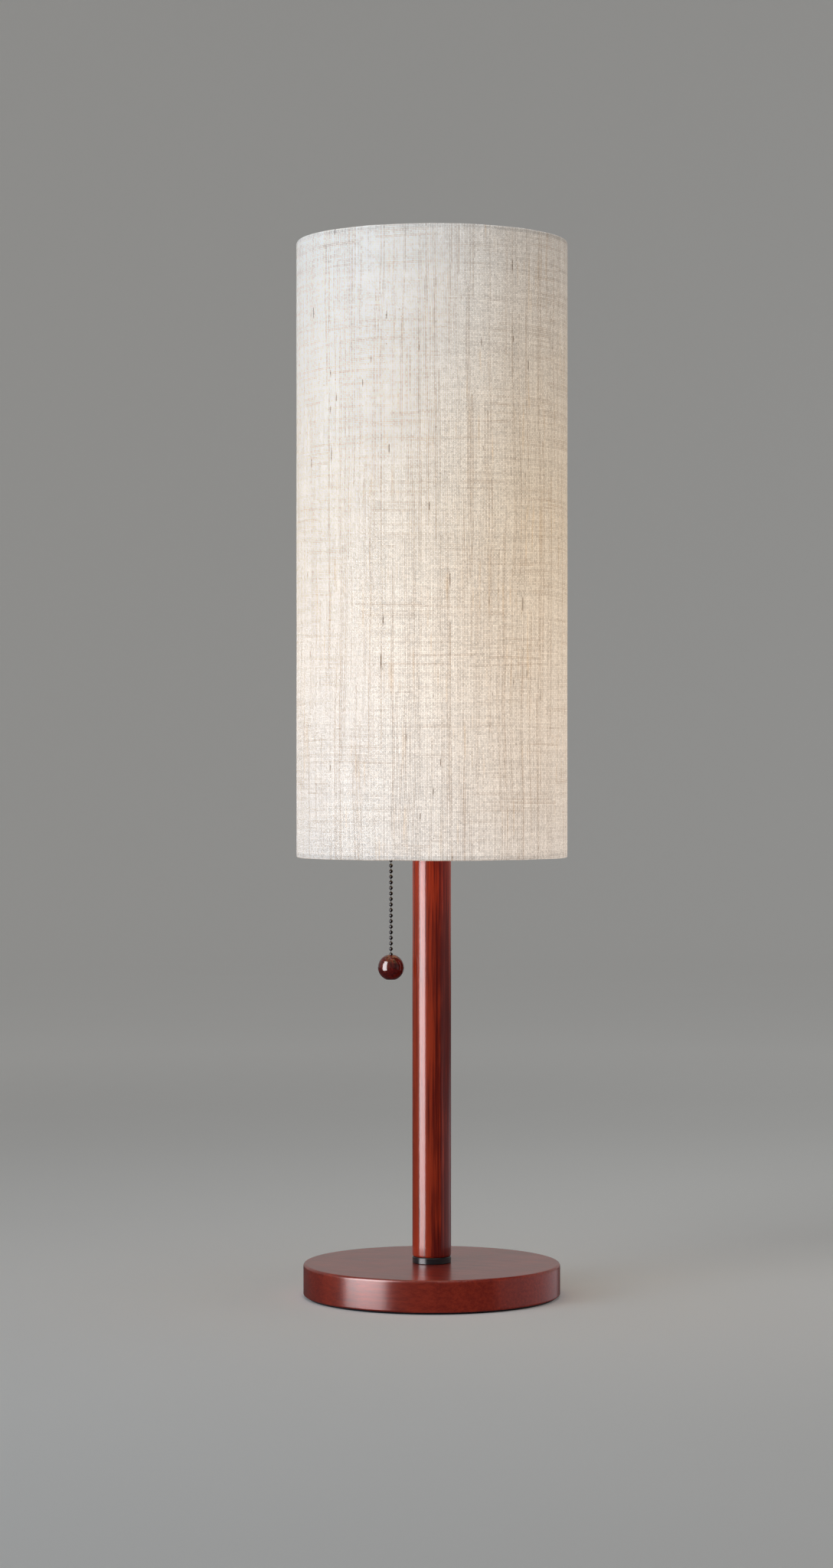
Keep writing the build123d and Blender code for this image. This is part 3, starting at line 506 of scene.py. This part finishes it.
def shade_cloth_points():
    """The shade's cloth: a drum wall that rolls over a hoop at each end into a hem, given a thickness.

    The middle line goes down the bottom hem, round a fold, up the wall, round a fold and down the top hem.
    Points step half the cloth's thickness to either side of it, and go round the drum with a slight wave,
    which is a sum of sines of the angle, and a lap at the back.
    """

    def upright(radius, heights):
        return np.stack([np.full(len(heights), radius), heights], -1)

    thick, fold = 0.5 * mm, 1.05 * mm
    edge = shade_radius - thick / 2
    inner = edge - 2 * fold
    low, high = shade_bottom + thick / 2 + fold, shade_top - thick / 2 - fold
    arc = np.linspace(0, pi, 13)
    middle = np.concatenate(
        [
            upright(inner, np.linspace(shade_bottom + bottom_hem, low, 5)[:-1]),
            np.stack([edge - fold - fold * np.cos(arc), low - fold * np.sin(arc)], -1),
            upright(edge, np.linspace(low, high, 150)[1:-1]),
            np.stack([edge - fold + fold * np.cos(arc), high + fold * np.sin(arc)], -1),
            upright(inner, np.linspace(high, shade_top - top_hem, 9)[1:]),
        ]
    )
    run = np.gradient(middle, axis=0)
    run /= np.linalg.norm(run, axis=1, keepdims=True)
    side = np.stack([run[:, 1], -run[:, 0]], -1) * thick / 2
    profile = np.concatenate([middle + side, (middle - side)[::-1]])
    length = np.concatenate([[0], np.cumsum(np.linalg.norm(np.diff(middle, axis=0), axis=1))])
    length = np.concatenate([length, length[::-1]])

    # Angles, closer together at the lap, which rises at one edge and runs out at the other, outside only
    even = np.linspace(0, tau, 420, endpoint=False)
    lap_at, lap, lap_rise = pi / 2, seam_lap / shade_radius, 0.42 * mm
    seam = lap_at + np.linspace(-0.25, 1.25, 61) * lap
    angle = np.unique(np.concatenate([even[(even < seam[0]) | (even > seam[-1])], seam]))
    across = (angle - lap_at) / lap
    step = np.clip(across / 0.035 + 0.5, 0, 1) * np.clip((1 - across) / 0.25, 0, 1)
    outside = np.concatenate([np.ones(len(middle)), np.zeros(len(middle))]) * (profile[:, 0] > edge - fold)

    # Waves of the wall and of its two ends, set in so that the cloth keeps inside the CAD's size
    inset, waist = 0.3 * mm, 0.55
    wave = 0.22 * np.sin(3 * angle + 0.7) + 0.13 * np.sin(7 * angle + 2.1) + 0.06 * np.sin(17 * angle)
    ends = np.clip(1 - np.abs(profile[:, 1] - (low + high) / 2) / (high - low) * 2, 0, 1) ** 0.5
    lump = 0.06 * mm * np.sin(23 * angle[:, None] + 40 * profile[None, :, 1]) * ends[None, :]
    radius = profile[None, :, 0] - inset + 0.6 * mm * wave[:, None] + lump
    radius = radius + lap_rise * step[:, None] * outside[None, :]
    tip = 0.15 * mm * (np.sin(5 * angle + 1.0) + 0.6 * np.sin(11 * angle))[:, None]
    height = profile[None, :, 1] - np.abs(tip) * np.sign(profile[None, :, 1] - waist)
    points = np.stack([radius * np.cos(angle)[:, None], radius * np.sin(angle)[:, None], height], -1)
    around = np.append(angle, angle[0] + tau) * shade_radius
    chart = np.stack(np.broadcast_arrays(around[:, None], length[None, :]), -1)
    return points, np.concatenate([chart, chart[:, :1]], 1), length.max()


def turned_column():
    """The column: a tube with rounded ends, whose radius ripples by a sum of sines, as turned wood does."""
    bore = 5.4 * mm
    foot, head = pole_low.z, pole_high.z
    corners = [(pole_radius, foot), (pole_radius, head), (bore, head), (bore, foot)]
    outline = filled(rounded(corners, [1.6 * mm, 0.8 * mm, 0.1 * mm, 0.1 * mm], 8), 6 * mm)
    z = outline[None, :, 1]
    depth, turns = 0.016 * mm, 144
    skin = (outline[None, :, 0] > pole_radius - 2 * mm) * depth
    angle = np.linspace(0, tau, turns, endpoint=False)[:, None]
    ripple = np.sin(61 * z + 2 * angle) + 0.7 * np.sin(137 * z - 3 * angle + 1) - 1.5
    return lathe(outline, turns, wobble=skin * ripple)


def bead_points(low, high, centre):
    """A run of beads on a thin link: the radius is a ball's round each bead's middle, or else the link's.

    The run ends in tiny rings, and a tiny tube inside it joins them.
    """
    bead, link, pitch, tiny = 1.45 * mm, 0.28 * mm, 4.15 * mm, 0.05 * mm
    middles = np.arange(high, low, -pitch)[:, None]
    polar = np.linspace(np.arcsin(link / bead), pi - np.arcsin(link / bead), 13)[None, :]
    radius = np.tile(bead * np.sin(polar), (len(middles), 1)).ravel()
    height = (middles + bead * np.cos(polar)).ravel()
    radius[[0, -1]] = tiny
    return lathe(np.stack([radius, height], -1)[::-1], 18, centre)


def pull_ball_points():
    """The ball: a sphere's arc from the pocket at its foot to the countersunk top, then down the bore."""
    bore, sink = 1.85 * mm, 3.0 * mm
    roof = ball_middle - 4.55 * mm
    top = ball_middle + np.sqrt(ball_radius**2 - sink**2)
    arc = np.linspace(-np.arccos(ball_pocket / ball_radius), np.arccos(sink / ball_radius), 49)
    skin = np.stack([ball_radius * np.cos(arc), ball_middle + ball_radius * np.sin(arc)], -1)
    lip = np.linspace(0, 1, 9)[1:, None]
    bowl = np.array([sink, top]) + lip * np.array([bore - sink, -(sink - bore) * 1.2])
    bowl[:, 1] -= 0.12 * mm * np.sin(pi * lip[:, 0])
    inside = np.array([(bore, roof), (ball_pocket, roof)])
    return lathe(np.concatenate([skin, bowl, inside]), 72, (chain_x, 0.0))


def threaded(node, depth):
    """A rolled lamp thread on a thin shell: the radius follows a cosine that climbs one pitch each turn."""
    low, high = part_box(node)
    outer, pitch, thin = high.x, 3.63 * mm, 0.3 * mm
    z = np.linspace(low.z, high.z, 90)
    angle = np.linspace(0, tau, 72, endpoint=False)[:, None]
    calm = np.clip(np.minimum(z - low.z, high.z - z) / (2.5 * mm), 0, 1)[None, :]
    wave = depth / 2 * (1 - np.cos(tau * z[None, :] / pitch - angle)) * calm
    skin = np.concatenate([outer - wave, (outer - thin - wave)[:, ::-1]], 1)
    height = np.concatenate([z, z[::-1]])[None, :]
    return np.stack(np.broadcast_arrays(skin * np.cos(angle), skin * np.sin(angle), height), -1)


def leaf_spring_points():
    """The switch's leaf spring: a folded strip that lies on the case's floor and rises to the lever.

    A thin rounded section is carried along the fold, and then, made very small, back along it, which closes
    both ends. The two places after the points are the heights between which the spring goes from the case to
    the lever.
    """
    low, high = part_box("lever_spring")
    thick, fold, width, tiny = 0.2 * mm, 0.8 * mm, high.y, 0.02
    front = np.array([low.x + 0.15 * mm, low.z + thick])
    heel = np.array([high.x + 0.73 * mm, low.z + thick])
    tip = np.array([low.x + 0.15 * mm, high.z - 0.13 * mm])
    steps = 8
    bend = rounded([front, heel, tip], [0, fold, 0], steps)[steps : 2 * steps]
    share = np.linspace(0, 1, 14)[:, None]
    line = np.concatenate(
        [front + (bend[0] - front) * share[:-1], bend, bend[-1] + (tip - bend[-1]) * share[1:]]
    )
    run = np.gradient(line, axis=0)
    run /= np.linalg.norm(run, axis=1, keepdims=True)
    side = np.stack([run[:, 1], -run[:, 0]], -1)
    corners = [(thick, -width), (thick, width), (-thick, width), (-thick, -width)]
    section = rounded(corners, [0.1 * mm] * 4, 4)
    size = np.repeat([1.0, tiny], len(line))[None, :]
    line, side = np.concatenate([line, line[::-1]])[None], np.concatenate([side, side[::-1]])[None]
    out = section[:, :1] * size
    x, z = line[..., 0] + side[..., 0] * out, line[..., 1] + side[..., 1] * out
    return np.stack([x, section[:, 1:] * size, z], -1), (0, 0, low.z + 1.5 * mm), (0, 0, high.z - 0.3 * mm)


# Finishes
cloth = linen()
column_wood = stained_wood(
    "column_wood",
    light=(0.61, 0.056, 0.015),
    dark=(0.18, 0.010, 0.006),
    grain=(620, 620, 9),
    gloss=0.17,
    figure=1.25,
    lacquer=0.72,
    # Painted shade on the column's side away from the key lights
    painted_shade_run=(-3.0 * mm, 2.5 * mm),
)
base_wood = stained_wood(
    "base_wood",
    light=(0.52, 0.044, 0.016),
    dark=(0.25, 0.015, 0.008),
    grain=(10, 480, 480),
    gloss=0.235,
    lean=(0, 0, 24),
    figure=0.5,
    crown=((base_low.z + base_high.z) / 2, (base_high.z - base_low.z) / 2, 0.4 * mm),
)
ball_wood = stained_wood(
    "ball_wood",
    light=(0.21, 0.012, 0.010),
    dark=(0.060, 0.004, 0.005),
    grain=(620, 620, 60),
    gloss=0.06,
    lean=(24, 10, 0),
    # Painted reflection of the lit shade round the top of the bore
    bare=(chain_x, 3.1 * mm, ball_middle + 0.85 * ball_radius),
)
black_gloss = moulded("black_gloss", (0.014, 0.014, 0.016), 0.22, 900)
phenolic = moulded("black_phenolic", (0.022, 0.020, 0.019), 0.38, 700, 0.05 * mm)
steel = metal("nickel_steel", (0.60, 0.58, 0.54), 0.28)
wire_steel = metal("brassed_wire", (0.66, 0.52, 0.30), 0.25, (600, 600, 600))
black_nickel = metal("black_nickel", (0.05, 0.05, 0.053), 0.12, (1500, 1500, 1500))
brass = metal("contact_brass", (0.78, 0.58, 0.26), 0.3)
aluminium = metal("rolled_aluminium", (0.78, 0.78, 0.77), 0.32, (300, 300, 2400))
iron = metal("cast_iron", (0.12, 0.12, 0.12), 0.62, (400, 400, 400), 0.5)

dress(felt(), "base_felt")
dress(base_wood, "base_disc")
dress(black_gloss, "pole_collar", "pole_cap", "finial")
dress(iron, "base_weight")
dress(steel, "weight_screws", "base_washer", "base_nut", "lamp_pipe", "saddle_nut", "harp_stud")
dress(steel, "front_ferrule", "back_ferrule", "neck_screw", "case_screws", "lever_pin", "pull_lever")
dress(wire_steel, "harp_saddle", "harp_bow", "spider_hub", "spider_arms", "top_hoop", "bottom_hoop")
dress(black_nickel, "chain_guide", "chain_head", "ball_stop")
dress(phenolic, "switch_case", "socket_shell", "switch_block", "cord_bushing", "bulb_insulator")
dress(brass, "centre_contact", "terminal_screws", "bulb_contact")
dress(lit_glass(), "bulb_glass")
dress(styrene(), "shade_liner")

# New pieces
drum, chart, cloth_length = shade_cloth_points()
shade = put("shade_linen", drum, cloth, "shade", "shade_cloth", chart)
put("turned_column", turned_column(), column_wood, "stand", "pole")
hanging = bead_points(chain_low.z + 1.2 * mm, chain_high.z - 2.5 * mm, (chain_x, 0.0))
put("bead_chain", hanging, black_nickel, "pull", "pull_chain")
knuckle_z = (knuckle_low.z + knuckle_high.z) / 2
knuckle = bead_points(knuckle_z - mm, knuckle_z, (chain_x, 0.0))
put("top_bead", knuckle, black_nickel, "chain_bead", "chain_knuckle")
put("wood_ball", pull_ball_points(), ball_wood, "pull", "pull_ball")
put("bulb_thread", threaded("bulb_cap", 0.45 * mm), aluminium, "stand", "bulb_cap")
leaf, heel, tip = leaf_spring_points()
spring = put("leaf_spring", leaf, steel, None, "lever_spring")
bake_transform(spring)
put("socket_thread", threaded("screw_shell", 0.25 * mm), aluminium, "stand", "screw_shell")


def paper(name, profile):
    """Pale studio paper: a profile of radius and height carried round the lamp, seen at its own plain level.

    The level rises with the distance from the lamp, where less light falls, is highest behind the lamp, and
    is a little higher in reflections.
    """
    f = Finish(name)
    x, y, _ = f.split(f.place())
    speck = f.noise(f.stretch(f.place(), 3, 3, 3), detail=2)
    camera, glossy, through = (
        f.add("ShaderNodeLightPath", out=f"Is {ray} Ray") for ray in ("Camera", "Glossy", "Transmission")
    )
    level = f.step(x * x + y * y, 0.2, 6.0, start=0.13, end=0.215) * f.step(y, -3.0, 5.0, start=0.6)
    sheet = bpy.data.objects.new(name, grid_mesh(name, lathe(profile, 96)))
    sheet.data.materials.append(
        f.coat(
            base_color=f.blend(speck, (0.77, 0.74, 0.695), (0.795, 0.765, 0.72)),
            roughness=0.95,
            specular_ior_level=0.0,
            emission_color=f.tint((1.0, 1.0, 0.98), level * (camera + glossy * 1.25 + through)),
            emission_strength=1.0,
        )
    )
    bpy.context.scene.collection.objects.link(sheet)
    return sheet


def softbox(name, azimuth, distance, middle, size, radiance, colour, tilt=0.0, grid=180.0):
    """A soft rectangular light that faces the table lamp's axis, tilted up by an angle.

    Its power is radiance times pi times its area. A grid narrows its beam to an angle, and makes the beam's
    middle brighter by the tangent of half that angle over the tangent less the half angle itself, which is
    taken off again.
    """
    light = bpy.data.lights.new(name, "AREA")
    light.shape, light.size, light.size_y = "RECTANGLE", *size
    light.energy, light.color = radiance * pi * size[0] * size[1], colour
    if grid < 180:
        half = radians(grid) / 2
        light.spread = radians(grid)
        light.energy *= 1 - half / tan(half)
    box = bpy.data.objects.new(name, light)
    bpy.context.scene.collection.objects.link(box)
    turn = radians(azimuth)
    box.location = (distance * sin(turn), -distance * cos(turn), middle)
    box.rotation_euler = (radians(90 + tilt), 0, turn)
    box.visible_camera = False
    return box


# Paper: a floor that no gloss shows, and a wall that curves up from its edge
floor_edge, bend_radius, wall_top = 4.6, 1.6, 6.0
bend = np.linspace(0, pi / 2, 33)
flat_run = np.linspace(2 * mm, floor_edge, 24)
paper("studio_floor", np.stack([flat_run, 0 * flat_run], -1)).visible_glossy = False
rise = np.stack([floor_edge + bend_radius * np.sin(bend), bend_radius - bend_radius * np.cos(bend)], -1)
paper("studio_wall", np.append(rise, [(floor_edge + bend_radius, wall_top)], 0))

# Lights that only show in the gloss: a strip on the left, and a low one on the right, under the floor
softbox(
    "gloss_strip",
    radiance=14.5, colour=(0.98, 0.96, 1.0),
    azimuth=-59, distance=0.8, middle=0.50, size=(0.56, 1.20),
).visible_diffuse = False
softbox(
    "low_right",
    radiance=0.5, colour=(1.0, 0.93, 1.0),
    azimuth=105, distance=2.0, middle=-0.23, size=(4.2, 0.37),
).visible_diffuse = False

# Lights that reach the surfaces and leave no highlight
softbox(
    "key_left",
    radiance=4.7, colour=(0.52, 0.74, 1.0),
    azimuth=-55, distance=2.6, middle=0.85, size=(1.6, 1.4), tilt=-8, grid=80,
).visible_glossy = False
softbox(
    "key_high",
    radiance=7.2, colour=(0.88, 0.94, 0.96),
    azimuth=-45, distance=1.3, middle=1.5, size=(0.8, 0.8), tilt=-25, grid=50,
).visible_glossy = False
softbox(
    "foot_right",
    radiance=3.0, colour=(1.0, 0.92, 0.96),
    azimuth=72, distance=0.8, middle=0.14, size=(0.5, 0.24), tilt=-3, grid=50,
).visible_glossy = False

# Soft fill from the right and from above
softbox(
    "fill_right",
    radiance=0.20, colour=(1.0, 0.94, 1.0),
    azimuth=80, distance=2.0, middle=0.5, size=(2.2, 1.0), grid=90,
)
softbox(
    "overhead",
    radiance=0.9, colour=(1.0, 1.0, 1.0),
    azimuth=0, distance=0.3, middle=2.6, size=(2.4, 2.4), tilt=-90,
)

# A faint even light from all sides, and the camera, which looks slightly down
world = bpy.data.worlds.new("studio")
world.use_nodes = True
sky = world.node_tree.nodes["Background"].inputs
sky["Color"].default_value, sky["Strength"].default_value = (0.97, 0.99, 1.0, 1.0), 0.06
scene = bpy.context.scene
scene.world = world
scene.view_settings.view_transform = "Standard"

lens = bpy.data.cameras.new("camera")
lens.sensor_fit, lens.sensor_height, lens.lens = "VERTICAL", 36.0, 82.6
eye = bpy.data.objects.new("camera", lens)
scene.collection.objects.link(eye)
dip = 0.257
eye.location = (-0.0114, -2.69, 0.395)
eye.rotation_euler = (radians(90 - dip), 0, 0)
scene.camera = eye
